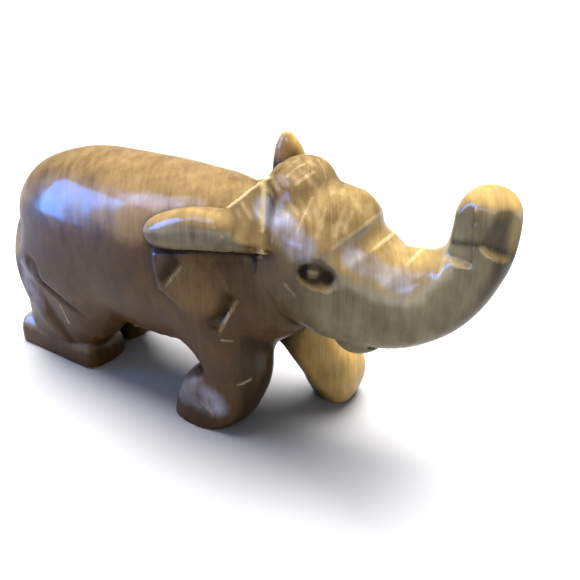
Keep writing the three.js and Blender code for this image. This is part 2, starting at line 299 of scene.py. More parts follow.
@dataclass(frozen=True)
class Facets:
    """The space behind a few flat faces, near one place: a wedge to join or a chip to cut."""

    faces: tuple[tuple[Point, Point], ...]
    middle: Point
    reach: float

    def bounds(self) -> Corners:
        """Lowest and highest corner that the facets can reach."""
        return around(np.array([self.middle]), self.reach)

    def distance(self, place: Coordinates, cell: float) -> np.ndarray:
        """Measure how far points are from the space behind the faces.

        Args:
            place: Coordinates of a block of points.
            cell: Distance between neighbouring points.

        Returns:
            Distances, negative inside.
        """
        worst = np.full(place[0].shape, -FAR)
        for point, facing in self.faces:
            way = np.array(facing) / np.linalg.norm(facing)
            worst = np.maximum(worst, sum((place[i] - point[i]) * way[i] for i in range(3)))
        return worst

    def on(self, side: Side) -> "Facets":
        """Put facets given for the right side on either side.

        Args:
            side: The side to put them on.

        Returns:
            The facets on that side.
        """
        turn = np.array([1.0, -side.value, 1.0])
        faces = tuple(
            (tuple(np.array(point) * turn), tuple(np.array(facing) * turn))
            for point, facing in self.faces
        )
        return Facets(faces, tuple(np.array(self.middle) * turn), self.reach)


def gouge(top: Point, bottom: Point, depth: float, breadth: float) -> Facets:
    """Make a chip on the right side: a steep wall along a line, and a floor rising from its foot.

    Args:
        top: Upper end of the wall's edge, on the surface.
        bottom: Lower end of the wall's edge, on the surface.
        depth: How deep the floor starts, at the wall.
        breadth: How far behind the wall the floor comes out.

    Returns:
        The chip.
    """
    lean, spread_below, spread_above = 0.3, 2.2, 1.5
    a, b = np.array(top, float), np.array(bottom, float)
    run = (b - a) / np.linalg.norm(b - a)
    out = np.array([0.0, -1.0, 0.0])
    ahead = np.cross(run, out)
    ahead *= np.sign(ahead[0]) / np.linalg.norm(ahead)
    faces = (
        (tuple(a), tuple(ahead - lean * out)),
        (tuple(a - out * depth), tuple(-breadth * out - depth * ahead)),
        (tuple(b), tuple(run - spread_below * out)),
        (tuple(a), tuple(-run - spread_above * out)),
    )
    return Facets(faces, tuple((a + b) / 2), float(np.linalg.norm(b - a)) / 2 + breadth)


def touched(points: np.ndarray, strokes: tuple[Stroke, ...]) -> np.ndarray:
    """Tell which points are close to any of a few short lines.

    Args:
        points: Rows of x, y and z.
        strokes: The two ends of each line, and its half width.

    Returns:
        From 0 to 1 for each point.
    """
    found = np.zeros(len(points))
    for start, end, reach in strokes:
        a, b = np.array(start), np.array(end)
        run = b - a
        share = np.clip((points - a) @ run / (run @ run), 0.0, 1.0)
        gap = np.linalg.norm(points - a - share[:, None] * run, axis=1)
        found = np.maximum(found, smooth_step(1.1 * reach, 0.4 * reach, gap))
    return found


Form = CarvedForm | Ball | Groove | Facets


@dataclass
class Block:
    """The block of wood: distances to the carved surface at the corners of small cells."""

    low: Point = (-110.0, -34.0, -2.4)
    high: Point = (102.0, 36.0, 107.0)
    cell: float = 0.85
    depth: np.ndarray = field(init=False)

    def __post_init__(self) -> None:
        """Start with no wood left in any cell."""
        spans = zip(self.low, self.high)
        self.axes = [np.arange(a, b, self.cell, dtype=np.float32) for a, b in spans]
        self.depth = np.full([len(a) for a in self.axes], FAR, np.float32)

    def window(self, low: np.ndarray, high: np.ndarray) -> tuple[tuple[slice, ...], Coordinates]:
        """Pick the cells between two corners.

        Args:
            low: Lowest corner.
            high: Highest corner.

        Returns:
            The slices of the cells and the coordinates of their corners.
        """
        cut = tuple(
            slice(max(int(np.searchsorted(axis, a)) - 1, 0), int(np.searchsorted(axis, b)) + 1)
            for axis, a, b in zip(self.axes, low, high)
        )
        place = np.meshgrid(*[axis[s] for axis, s in zip(self.axes, cut)], indexing="ij")
        return cut, tuple(place)

    def join(self, form: Form, blend: float, margin: float = 6.0) -> None:
        """Add a form to the wood.

        Args:
            form: The form to add.
            blend: Width of the rounding where it meets the rest.
            margin: How far round the form its distances are worked out.
        """
        low, high = form.bounds()
        cut, place = self.window(low - margin, high + margin)
        self.depth[cut] = joined(self.depth[cut], form.distance(place, self.cell), blend)

    def cut(self, form: Form, blend: float, margin: float = 3.0) -> None:
        """Take a form out of the wood.

        Args:
            form: The form to take out.
            blend: Width of the rounding along the cut's edge.
            margin: How far round the form its distances are worked out.
        """
        low, high = form.bounds()
        cut, place = self.window(low - margin, high + margin)
        self.depth[cut] = carved(self.depth[cut], -form.distance(place, self.cell), blend)

    def shave(
        self, low: Point, high: Point, depth_at: Callable[[Coordinates], np.ndarray]
    ) -> None:
        """Lower the surface between two corners by a depth that varies from place to place."""
        cut, place = self.window(np.array(low), np.array(high))
        self.depth[cut] += depth_at(place).astype(np.float32)

    def saw_base(self, reach: float = 4.0, blend: float = 0.5) -> None:
        """Take off what is under the soles, at height 0, with a slightly rounded edge."""
        cut, (x, y, z) = self.window(np.array(self.low), np.array((*self.high[:2], reach)))
        self.depth[cut] = carved(self.depth[cut], -z, blend)

    def skin(self) -> "Skin":
        """Mesh the surface with one point in each cell that it crosses.

        Returns:
            The surface.
        """
        inside = self.depth < 0
        n = [size - 1 for size in inside.shape]
        part = [inside[i : i + n[0], j : j + n[1], k : k + n[2]] for i, j, k in CUBE]
        count = sum(corners.astype(np.int8) for corners in part)
        cells = np.argwhere((count > 0) & (count < len(CUBE)))
        number = np.full(n, -1, np.int32)
        number[tuple(cells.T)] = np.arange(len(cells))
        return Skin(self.crossings(cells), self.quads(inside, number))

    def crossings(self, cells: np.ndarray) -> np.ndarray:
        """Find the middle of where the surface crosses the edges of each cell.

        Args:
            cells: Rows of three cell numbers.

        Returns:
            Rows of x, y and z.
        """
        value = {corner: self.depth[tuple((cells + corner).T)] for corner in CUBE}
        total = np.zeros((len(cells), 3))
        hits = np.zeros(len(cells))
        for corner in CUBE:
            for axis in range(3):
                if corner[axis]:
                    continue
                other = tuple(1 if i == axis else corner[i] for i in range(3))
                a, b = value[corner], value[other]
                crossing = (a < 0) != (b < 0)
                point = np.tile(np.array(corner, float), (len(cells), 1))
                point[:, axis] += np.where(crossing, a / np.where(crossing, a - b, 1.0), 0.0)
                total += point * crossing[:, None]
                hits += crossing
        return (cells + total / hits[:, None]) * self.cell + [axis[0] for axis in self.axes]

    @staticmethod
    def quads(inside: np.ndarray, number: np.ndarray) -> np.ndarray:
        """Join the points of the four cells round each cell edge that the surface crosses.

        Args:
            inside: Which corners of the cells are in the wood.
            number: The number of each cell's point.

        Returns:
            Rows of four point numbers, going round so that they face outward.
        """
        n = number.shape
        faces = []
        for axis in range(3):
            u, v = (axis + 1) % 3, (axis + 2) % 3
            edges = np.argwhere(inside != np.roll(inside, -1, axis))
            ok = (edges[:, axis] < n[axis]) & (edges[:, u] > 0) & (edges[:, v] > 0)
            ok &= (edges[:, u] < n[u]) & (edges[:, v] < n[v])
            edges = edges[ok]
            ring = []
            for du, dv in ((1, 1), (0, 1), (0, 0), (1, 0)):
                spot = edges.copy()
                spot[:, u] -= du
                spot[:, v] -= dv
                ring.append(number[tuple(spot.T)])
            quad = np.stack(ring, axis=1)
            flip = ~inside[tuple(edges.T)]
            quad[flip] = quad[flip][:, ::-1]
            faces.append(quad)
        return np.vstack(faces)

    def sample(self, points: np.ndarray) -> np.ndarray:
        """Read the distance at any points.

        Args:
            points: Rows of x, y and z.

        Returns:
            The distance at each point.
        """
        spot = (points - [axis[0] for axis in self.axes]) / self.cell
        just_inside = np.array(self.depth.shape) - 1.001
        spot = np.clip(spot, 0.0, just_inside)
        base = spot.astype(int)
        w = spot - base
        found = np.zeros(len(points))
        for corner in CUBE:
            a, b, c = (w[:, i] if corner[i] else 1 - w[:, i] for i in range(3))
            found += a * b * c * self.depth[tuple((base + corner).T)]
        return found

    def slope(self, points: np.ndarray) -> np.ndarray:
        """Find the direction in which the distance rises at any points.

        Args:
            points: Rows of x, y and z.

        Returns:
            Rows of the rise along X, Y and Z.
        """
        reach = 0.5 * self.cell
        rows = []
        for step in np.eye(3) * reach:
            rows.append((self.sample(points + step) - self.sample(points - step)) / (2 * reach))
        return np.stack(rows, axis=1)


@dataclass
class Skin:
    """The meshed surface, and the numpy work done on it before it becomes an object."""

    points: np.ndarray
    faces: np.ndarray

    def __post_init__(self) -> None:
        """List the mesh's edges and how many meet at each point."""
        pairs = np.vstack([self.faces[:, [i, (i + 1) % 4]] for i in range(4)])
        pairs.sort(axis=1)
        self.edges = np.unique(pairs, axis=0)
        self.valence = np.bincount(self.edges.ravel(), minlength=len(self.points))

    def gathered(self, numbers: np.ndarray, rows: np.ndarray) -> np.ndarray:
        """Add up the rows that belong to each point."""
        columns = [np.bincount(numbers, column, len(self.points)) for column in rows.T]
        return np.stack(columns, axis=1)

    def average(self, rows: np.ndarray) -> np.ndarray:
        """Average what the neighbours of each point hold.

        Args:
            rows: One row for each point.

        Returns:
            The neighbours' mean for each point.
        """
        one, other = self.edges.T
        total = self.gathered(one, rows[other]) + self.gathered(other, rows[one])
        return total / np.maximum(self.valence, 1)[:, None]

    def relax(self, block: Block, rounds: int) -> None:
        """Even the points out along the surface and pull them back onto it.

        Args:
            block: The wood that holds the exact surface.
            rounds: How often to do so.
        """
        eased, least_slope, longest = 0.55, 0.05, 0.4 * block.cell
        for _ in range(rounds):
            self.points += eased * (self.average(self.points) - self.points)
            slope = block.slope(self.points)
            away = block.sample(self.points) / np.maximum(np.sum(slope**2, axis=1), least_slope)
            self.points -= slope * np.clip(away, -longest, longest)[:, None]

    def normals(self) -> np.ndarray:
        """Find the outward directions at the points.

        Returns:
            Rows of unit length.
        """
        a, b, c, d = (self.points[self.faces[:, i]] for i in range(4))
        facing = np.cross(c - a, d - b)
        rows = sum(self.gathered(self.faces[:, i], facing) for i in range(4))
        return rows / np.maximum(np.linalg.norm(rows, axis=1, keepdims=True), 1e-12)

    def sharpness(self, reach: int) -> np.ndarray:
        """Tell edges from hollows.

        Args:
            reach: How many rounds of averaging to look across.

        Returns:
            Positive where the surface stands out from its surroundings, negative in hollows.
        """
        mean = self.points
        for _ in range(reach):
            mean = self.average(mean)
        return np.sum((self.points - mean) * self.normals(), axis=1)


def across(x: float, top: float, bottom: float, wide: float) -> Station:
    """Make a station of the body from the heights of the back and the belly."""
    half = (top - bottom) / 2
    return Station(x, 0.0, (top + bottom) / 2, half, half, wide)


@dataclass(frozen=True)
class Body:
    """The barrel body from rump to neck, and the tail that lies on the right thigh."""

    trunk: CarvedForm = CarvedForm(
        (
            across(-101, 84, 34, 21),
            across(-80, 88.5, 28, 24),
            across(-52, 91, 24.5, 26.5),
            across(-24, 91, 24.5, 27.5),
            across(4, 90, 27, 26),
            across(24, 87, 36, 21),
            across(40, 84, 48, 18),
        ),
        Ends(0.3, 0.1, 2.3),
    )
    tail: CarvedForm = CarvedForm(
        (
            Station(-95.3, 0, 74, 3, 3, 4),
            Station(-96, -2, 64, 3, 3, 4),
            Station(-93.8, -11, 54, 3.2, 3.2, 4),
            Station(-87.5, -18.5, 44, 3.8, 3.8, 4),
            Station(-80.5, -21.8, 32, 4.4, 4.4, 3.2),
            Station(-69, -19.5, 11, 5, 5, 2.8),
        ),
        Ends(0.1, 0.1, 3.0),
        60,
    )
    thigh_crease: Groove = Groove((-74, -27, 42), (-44, -26, 27), 0.9, 3.0)
    tail_hollow: Ball = Ball(-75, -26.5, 46, 3.4, 3.0, 5.0, 25)

    def shape(self, block: Block) -> None:
        """Join the body into the wood."""
        block.join(self.trunk, 1.0)

    def lay_tail(self, block: Block) -> None:
        """Join the tail and cut the hollow and the crease beside it.

        Args:
            block: The wood to carve.
        """
        block.join(self.tail, 1.2)
        block.cut(self.tail_hollow, 2.0)
        block.cut(self.thigh_crease, 1.5)


@dataclass(frozen=True)
class Leg:
    """A leg, from inside the body to the sole, and the low foot that some legs stand on."""

    column: tuple[Station, ...]
    blend: float = 7.0
    foot: CarvedForm | None = None

    def shape(self, block: Block) -> None:
        """Join the leg into the wood.

        Args:
            block: The wood to carve.
        """
        block.join(CarvedForm(self.column, Ends(0.25, 0.05, 2.8), 50), self.blend)
        if self.foot:
            block.join(self.foot, 0.9)


def boot(x: float, y: float, length: float, wide: float, height: float) -> CarvedForm:
    """Make a low foot that stands out round a hind leg.

    Args:
        x: Its middle along the body.
        y: Its middle across the body.
        length: Its length.
        wide: Its half width.
        height: Its height.

    Returns:
        The foot's form, whose lower half is under the ground.
    """
    rows = tuple(
        Station(x + step * length / 2, y, 0, height, height, wide) for step in (-1, -0.5, 0.5, 1)
    )
    return CarvedForm(rows, Ends(0.2, 0.12, 3.2), 60)


@dataclass(frozen=True)
class Legs:
    """The four legs in a walking stance, with the left front leg reaching forward."""

    front_right: Leg = Leg(
        (
            Station(6, -12, 66, 18, 20, 12),
            Station(11, -12, 44, 14, 17, 12.5),
            Station(14, -12, 24, 13, 8, 12.5),
            Station(6.5, -12, 10, 14.5, 13.5, 12),
            Station(0, -15, -9, 3, 12.5, 9.5),
        )
    )
    front_left: Leg = Leg(
        (
            Station(10, 12, 66, 18, 20, 12),
            Station(19, 14, 44, 13, 13, 11),
            Station(29, 18, 26, 11, 10, 10.5),
            Station(37, 21.5, 13, 11.5, 11, 11),
            Station(37.5, 24, -8, 3.5, 6, 5.5),
        )
    )
    hind_right: Leg = Leg(
        (
            Station(-68, -12, 62, 26, 24, 13),
            Station(-68, -12, 42, 30, 26, 13),
            Station(-76, -11, 24, 26, 20, 11),
            Station(-79, -10, 12, 22, 20, 9.5),
            Station(-80, -10, -8, 18, 18, 8.5),
        ),
        foot=boot(-80.5, -10, 52, 10.5, 13.5),
    )
    hind_left: Leg = Leg(
        (
            Station(-68, 12.5, 62, 26, 24, 13),
            Station(-68, 13, 42, 30, 25, 12.5),
            Station(-75, 13, 24, 25, 19, 10.5),
            Station(-77, 13, 12, 21, 18, 9.5),
            Station(-78, 13, -8, 18, 16, 9),
        ),
        foot=boot(-78.5, 13.5, 40, 10, 12),
    )

    def shape(self, block: Block) -> None:
        """Join the four legs into the wood."""
        for leg in (self.front_right, self.front_left, self.hind_right, self.hind_left):
            leg.shape(block)


@dataclass(frozen=True)
class Ridge:
    """A carved ridge across the trunk, seen from the side as a line from its top to its foot."""

    top: tuple[float, float]
    foot: tuple[float, float]

    def measure(self, x: np.ndarray, z: np.ndarray) -> tuple[np.ndarray, np.ndarray]:
        """Measure points against the ridge.

        Args:
            x: Places along the body.
            z: Heights.

        Returns:
            How far they are in front of the ridge's plane, and how far up it from its foot.
        """
        run = math.dist(self.top, self.foot)
        lean, rise = self.top[0] - self.foot[0], self.top[1] - self.foot[1]
        x, z = x - self.foot[0], z - self.foot[1]
        return (x * rise - z * lean) / run, (x * lean + z * rise) / run


@dataclass(frozen=True)
class Head:
    """The head and the trunk: one form that narrows and curls up, with crown and forehead."""

    spine: CarvedForm = CarvedForm(
        (
            Station(27, 0, 74, 20, 22, 19.5),
            Station(40, 0, 71, 22, 22.5, 21.5),
            Station(54, 0, 65, 18.5, 20.5, 19.5),
            Station(68, 0, 63, 16, 16.5, 14.5),
            Station(80, 0, 68, 13.5, 12.5, 12),
            Station(88.5, 0, 79, 8.5, 9.5, 10.5),
            Station(91, 0, 90, 8.5, 8.5, 9.5),
            Station(90, 0, 101, 8, 7.5, 9),
        ),
        Ends(0.05, 0.1, 2.2),
        120,
    )
    crown: Ball = Ball(34.5, 0, 85, 10.3, 14, 15.3, 0, 2.5)
    forehead: Ball = Ball(48.5, 0, 79, 12, 14, 14, 0, 2.3)
    lower_lip: Ball = Ball(57, 0, 45.5, 8, 9, 5)
    mouth: Ball = Ball(66, 0, 46.5, 3.5, 16, 1.3)
    ridges: tuple[Ridge, ...] = (
        Ridge((61, 88), (53, 80)),
        Ridge((67, 84), (61, 78)),
        Ridge((76, 83), (72, 76)),
        Ridge((83, 86), (83, 76)),
    )
    scooped: tuple[Point, Point] = ((50, -24, 60), (90, 24, 92))
    crossed: tuple[Point, Point] = ((80, -14, 82), (94, 14, 92))
    chipped: tuple[Point, Point] = ((24, -18, 84), (62, 18, 104))
    scoop: float = 0.5
    chip: float = 0.4
    cross_deep: float = 0.45
    cross_wide: float = 0.9
    tip: tuple[Facets, ...] = (
        Facets(
            (
                ((91.0, -9.8, 88.7), (-0.694, 0.716, 0.075)),
                ((91.0, -9.8, 88.7), (-0.649, 0.168, -0.743)),
            ),
            (96.0, -6.0, 92.0),
            9.0,
        ),
        Facets(
            (
                ((90.0, -9.5, 89.0), (0.0, 0.97, -0.22)),
                ((90.0, -9.5, 97.7), (0.0, 0.15, 1.0)),
                ((89.3, -9.5, 93.0), (-1.0, 0.0, -0.15)),
            ),
            (92.0, -9.0, 94.0),
            7.0,
        ),
        Facets(
            (
                ((89.3, -7.6, 93.0), (0.30, 0.95, -0.12)),
                ((89.3, -7.6, 97.4), (0.0, 0.15, 1.0)),
                ((89.3, -7.6, 93.0), (1.0, 0.0, 0.15)),
            ),
            (86.0, -8.0, 93.0),
            7.0,
        ),
    )

    def shape(self, block: Block) -> None:
        """Join the head, the trunk and the lower lip into the wood.

        Args:
            block: The wood to carve.
        """
        block.join(self.spine, 1.0)
        block.join(self.crown, 2.5)
        block.join(self.forehead, 3.0)
        block.join(self.lower_lip, 3.0)

    def chisel(self, block: Block) -> None:
        """Cut the scoops across the trunk, the mouth line, the trunk's tip and the chips on top.

        Args:
            block: The wood to carve.
        """
        block.shave(*self.scooped, self.scoops)
        block.shave(*self.crossed, self.cross_cut)
        block.cut(self.mouth, 0.8)
        for side in Side:
            for chip in self.tip:
                block.cut(chip.on(side), 0.4)
        block.shave(*self.chipped, self.chips)

    @staticmethod
    def cross_line(x: np.ndarray, z: np.ndarray, wide: float) -> np.ndarray:
        """Tell which places are within a width of the slanting cut across the trunk's end."""
        return np.exp(-(((z - (86.4 + 0.25 * (x - 84.0))) / wide) ** 2))

    def cross_cut(self, place: Coordinates) -> np.ndarray:
        """Depth of the thin cut across both sides of the trunk under its tip.

        Args:
            place: Coordinates of a block of points.

        Returns:
            The depth to take off.
        """
        x, y, z = place
        line = self.cross_line(x, z, self.cross_wide)
        return self.cross_deep * line * smooth_step(93.0, 91.0, x) * smooth_step(2, 6, abs(y))

    def scoops(self, place: Coordinates) -> np.ndarray:
        """Depth of the scooped facets between the ridges.

        Args:
            place: Coordinates of a block of points.

        Returns:
            The depth to take off.
        """
        x, y, z = place
        depth = np.zeros(x.shape, np.float32)
        for rear, front in zip(self.ridges, self.ridges[1:]):
            a, b = rear.measure(x, z)[0], -front.measure(x, z)[0]
            share = np.where((a > 0) & (b > 0), a / np.maximum(a + b, 1e-6), 0.0)
            depth += np.where(share > 0, 1.0 - np.abs(2.0 * share - 1.0) ** 3, 0.0)
        lower = 76.0 - 0.35 * (x - 60.0)
        above = smooth_step(lower - 6.0, lower + 3.0, z)
        return self.scoop * depth * above * smooth_step(0, 8, abs(y))

    def chips(self, place: Coordinates) -> np.ndarray:
        """Depth of the short slanting knife strokes on the crown and the forehead.

        Args:
            place: Coordinates of a block of points.

        Returns:
            The depth to take off.
        """
        x, y, z = place
        along, over = 0.8 * x - 0.45 * y + 0.3 * z, 0.6 * z + 0.5 * x + 0.5 * y
        stroke = np.sin(1.5 * over + 1.4 * np.sin(0.45 * along)) * np.sin(0.7 * along + 0.8 * over)
        inside = smooth_step(84.0, 89.0, z) * smooth_step(24.0, 27.0, x)
        return self.chip * np.maximum(stroke, 0.0) * (inside * smooth_step(62.0, 56.0, x))

    def ridge_lines(self, points: np.ndarray) -> np.ndarray:
        """Tell which points are on the tops of the ridges, which get wear and a painted highlight.

        Args:
            points: Rows of x, y and z.

        Returns:
            From 0 to 1 for each point.
        """
        found = np.zeros(len(points))
        for ridge in self.ridges:
            ahead, up = ridge.measure(points[:, 0], points[:, 2])
            below_top = up < math.dist(ridge.top, ridge.foot) + 5.0
            line = smooth_step(1.3, 0.3, np.abs(ahead)) * smooth_step(-1.5, 1.5, up)
            found = np.maximum(found, line * below_top)
        return found


@dataclass(frozen=True)
class Eye:
    """An eye: a socket cut into the side of the head, with the ball left standing in it."""

    side: Side
    x: float = 50.5
    y: float = 18.6
    z: float = 73.0

    def shape(self, block: Block) -> None:
        """Cut the socket and join the ball.

        Args:
            block: The wood to carve.
        """
        y = self.side.value * self.y
        block.cut(Ball(self.x + 0.4, y * 1.07, self.z + 0.2, 5.2, 2.6, 3.0, -6), 2.2)
        block.cut(Ball(self.x + 3.2, y * 1.02, self.z - 0.6, 1.8, 2.6, 2.3), 1.6)
        block.join(Ball(self.x - 1.3, y * 0.98, self.z + 0.1, 2.2, 1.5, 1.7), 1.4, 3.0)


# Upper and lower end of the steep wall of each gouged hollow, on the right flap.
FLAP_WALLS: tuple[tuple[Point, Point], ...] = (
    ((6.6, -29.2, 68.3), (-0.4, -29.6, 59.4)),
    ((24.0, -24.8, 59.0), (17.8, -25.2, 46.0)),
)


@dataclass(frozen=True)
class Ear:
    """An ear: a rolled rear edge, a front part up the head and a three-cornered hanging flap."""

    side: Side
    roll: tuple[Station, ...] = (
        Station(-9, 23.5, 74.5, 4, 3.5, 5),
        Station(1, 24.5, 78, 6, 6, 5.8),
        Station(12, 24.5, 81, 6.5, 6.5, 6),
        Station(26.5, 23, 83, 5.5, 6.5, 6),
    )
    front: Facets = Facets(
        (
            ((22.6, -22.5, 89.5), (0.405, -0.754, 0.516)),
            ((23.5, -27.0, 80.0), (0.28, -0.95, 0.10)),
            ((23.5, -27.0, 78.5), (0.22, -0.80, -0.55)),
            ((22.6, -22.5, 89.5), (-0.811, 0.168, 0.561)),
            ((33.7, -22.0, 83.0), (0.90, -0.225, 0.372)),
            ((26.0, -25.0, 76.6), (0.1, -0.2, -1.0)),
            ((14.0, -20.0, 80.0), (-1.0, 0.0, 0.0)),
            ((24.0, -4.0, 84.0), (0.0, 1.0, 0.0)),
        ),
        (25.0, -16.0, 86.0),
        16.0,
    )
    raised: tuple[Station, ...] = (
        Station(22, 15, 76, 8, 9, 6),
        Station(21.7, 15.3, 86, 8, 8, 5),
        Station(21, 15, 94, 6.5, 6, 4),
        Station(20, 13.5, 104, 2.8, 2.5, 2),
    )
    flap_corners: tuple[tuple[float, float], ...] = (
        (-7, 77),
        (-6, 66),
        (-4, 57),
        (4, 51.5),
        (13, 48),
        (17.5, 45),
        (21, 51),
        (25.5, 60),
        (31, 70),
        (36, 82),
    )
    thick: float = 1.6
    left_roll_height: float = 0.5
    hollows: tuple[Facets, ...] = (
        gouge(*FLAP_WALLS[0], 3.0, 5.5),
        gouge(*FLAP_WALLS[1], 3.4, 6.0),
    )

    def mirrored(self, stations: tuple[Station, ...], low: float = 1.0) -> tuple[Station, ...]:
        """Put stations given for the left on this ear's side, with their upper part made low."""
        return tuple(
            replace(station, y=self.side.value * station.y, up=low * station.up)
            for station in stations
        )

    def flap(self, x: np.ndarray, z: np.ndarray) -> np.ndarray:
        """Measure how far points are from the flap's outline, seen from the side.

        Args:
            x: Places along the body, in the plane of the outline.
            z: Heights in the same plane.

        Returns:
            Distances, negative inside.
        """
        corners = np.array(self.flap_corners, float)
        best = np.full(x.shape, np.inf)
        inside = np.zeros(x.shape, bool)
        for (ax, az), (bx, bz) in zip(corners, np.roll(corners, -1, axis=0)):
            ex, ez = bx - ax, bz - az
            t = np.clip(((x - ax) * ex + (z - az) * ez) / (ex * ex + ez * ez), 0.0, 1.0)
            best = np.minimum(best, (x - ax - t * ex) ** 2 + (z - az - t * ez) ** 2)
            if bz != az:
                inside ^= ((az > z) != (bz > z)) & (x < (bx - ax) * (z - az) / (bz - az) + ax)
        return np.where(inside, -1.0, 1.0) * np.sqrt(best)

    def shape(self, block: Block, body: CarvedForm) -> None:
        """Join the flap, the roll and the front part or the raised tip into the wood.

        Args:
            block: The wood to carve.
            body: The body that the flap lies on.
        """
        right = self.side is Side.RIGHT
        near, far = (-34, -8) if right else (8, 34)
        cut, (x, y, z) = block.window(np.array((-12, near, 38)), np.array((44, far, 86)))
        skin = body.distance((x, y, z), block.cell, self.thick)
        skin = skin + self.thick * smooth_step(6.0, 26.0, x + 0.3 * (z - 60.0))
        edge = self.flap(x[:, 0, :], z[:, 0, :])[:, None, :]
        block.depth[cut] = joined(block.depth[cut], carved(skin, edge, 2.4), 0.6)
        height = 1.0 if right else self.left_roll_height
        block.join(CarvedForm(self.mirrored(self.roll, height), Ends(0.2, 0.1, 2.2), 50), 1.0)
        if right:
            block.join(self.front, 0.8)
        else:
            block.join(CarvedForm(self.mirrored(self.raised), Ends(0.1, 0.2, 2.2), 40), 1.6)
        s = self.side.value
        block.cut(Groove((-6.5, s * 28.8, 70.4), (26, s * 25.5, 75.6), 0.75, 3.0), 0.5)
        for hollow in self.hollows:
            block.cut(hollow.on(self.side), 0.5)


class Shade:
    """A socket of a shader, with the operators that add the nodes for an expression."""

    def __init__(self, shop: "Bench", socket: bpy.types.NodeSocket | None) -> None:
        """Wrap a socket of the bench's tree."""
        self.shop = shop
        self.socket = socket

    def _math(self, operation: str, other: "Shade | float", swap: bool = False) -> "Shade":
        """Add a Math node for this value and another."""
        pair = (other, self) if swap else (self, other)
        return self.shop.node("ShaderNodeMath", {"operation": operation}, {0: pair[0], 1: pair[1]})

    def __add__(self, other: "Shade | float") -> "Shade":
        """Add a value."""
        return self._math("ADD", other)

    def __radd__(self, other: float) -> "Shade":
        """Be added to a number."""
        return self._math("ADD", other, True)

    def __sub__(self, other: "Shade | float") -> "Shade":
        """Take a value away."""
        return self._math("SUBTRACT", other)

    def __rsub__(self, other: float) -> "Shade":
        """Be taken away from a number."""
        return self._math("SUBTRACT", other, True)

    def __mul__(self, other: "Shade | float") -> "Shade":
        """Multiply by a value."""
        return self._math("MULTIPLY", other)

    def __rmul__(self, other: float) -> "Shade":
        """Multiply a number."""
        return self._math("MULTIPLY", other, True)

    def clamp(self, low: float = 0.0, high: float = 1.0) -> "Shade":
        """Keep the value between two limits."""
        return self.shop.node("ShaderNodeClamp", {}, {"Value": self, "Min": low, "Max": high})

    def rise(self, low: float, high: float) -> "Shade":
        """Map a range of the value smoothly to 0 to 1."""
        return self.shop.node(
            "ShaderNodeMapRange",
            {"interpolation_type": "SMOOTHSTEP"},
            {"Value": self, "From Min": low, "From Max": high},
        )

    def mix(self, first: "Shade | tuple", second: "Shade | tuple") -> "Shade":
        """Mix two colours, with the first where the value is 0."""
        return self.shop.blend("MIX", self, first, second)


class Bench:
    """A material's node tree, and the one place where its nodes are made."""

    grain_angle: ClassVar[float] = -32.0

    def __init__(self, material: bpy.types.Material) -> None:
        """Empty the material's tree."""
        material.use_nodes = True
        self.tree = material.node_tree
        self.tree.nodes.clear()

    @staticmethod
    def _find(sockets: bpy.types.bpy_prop_collection, key: int | str) -> bpy.types.NodeSocket:
        """Find a socket by its number, its identifier or its name.

        Args:
            sockets: The inputs or the outputs of a node.
            key: What to find it by.

        Returns:
            The socket.
        """
        known = {socket.identifier: socket for socket in sockets}
        return sockets[key] if isinstance(key, int) or key not in known else known[key]

    def node(self, kind: str, settings: dict, inputs: dict, output: int | str = 0) -> Shade:
        """Make a node.

        Args:
            kind: Blender's type of the node.
            settings: Its settings, set first.
            inputs: A value or a link for each socket that is not left alone.
            output: Number or name of the output that is returned, if the node has any.

        Returns:
            The output, ready for expressions.
        """
        made = self.tree.nodes.new(kind)
        for name, value in settings.items():
            setattr(made, name, value)
        for key, value in inputs.items():
            socket = self._find(made.inputs, key)
            if isinstance(value, Shade):
                self.tree.links.new(value.socket, socket)
            else:
                socket.default_value = value
        return Shade(self, self._find(made.outputs, output) if made.outputs else None)

    def surface(self, values: dict) -> None:
        """Finish the material with one shader, given what its sockets hold."""
        skin = self.node("ShaderNodeBsdfPrincipled", {}, values)
        self.node("ShaderNodeOutputMaterial", {}, {"Surface": skin})

    def blend(
        self, kind: str, share: Shade | float, first: Shade | tuple, second: Shade | tuple
    ) -> Shade:
        """Mix two colours.

        Args:
            kind: Blender's name of the way of mixing.
            share: How much of the second colour is mixed in.
            first: The colour below.
            second: The colour above.

        Returns:
            The mixed colour.
        """
        return self.node(
            "ShaderNodeMix",
            {"data_type": "RGBA", "blend_type": kind},
            {"Factor_Float": share, "A_Color": first, "B_Color": second},
            "Result_Color",
        )

    def attribute(self, name: str) -> Shade:
        """Read a number that is kept at the mesh's points."""
        return self.node("ShaderNodeAttribute", {"attribute_name": name}, {}, "Fac")

    def place(self, scale: Stretch) -> Shade:
        """Turn the object's coordinates to the grain and stretch them.

        Args:
            scale: Factors along, across and up the grain's planes.

        Returns:
            The coordinates.
        """
        here = self.node("ShaderNodeTexCoord", {}, {}, "Object")
        turned = self.node(
            "ShaderNodeVectorRotate",
            {"rotation_type": "Z_AXIS"},
            {"Vector": here, "Angle": math.radians(self.grain_angle)},
        )
        return self.node("ShaderNodeVectorMath", {"operation": "MULTIPLY"}, {0: turned, 1: scale})

    def noise(self, scale: Stretch, detail: float, rough: float = 0.5) -> Shade:
        """Make smooth noise.

        Args:
            scale: Waves to the metre along, across and up the grain's planes.
            detail: How many finer layers to add.
            rough: How strong those layers are.

        Returns:
            A number that is mostly between 0.3 and 0.7.
        """
        return self.node(
            "ShaderNodeTexNoise",
            {"noise_dimensions": "3D"},
            {"Vector": self.place(scale), "Scale": 1.0, "Detail": detail, "Roughness": rough},
            "Fac",
        )


Colour = tuple[float, ...]


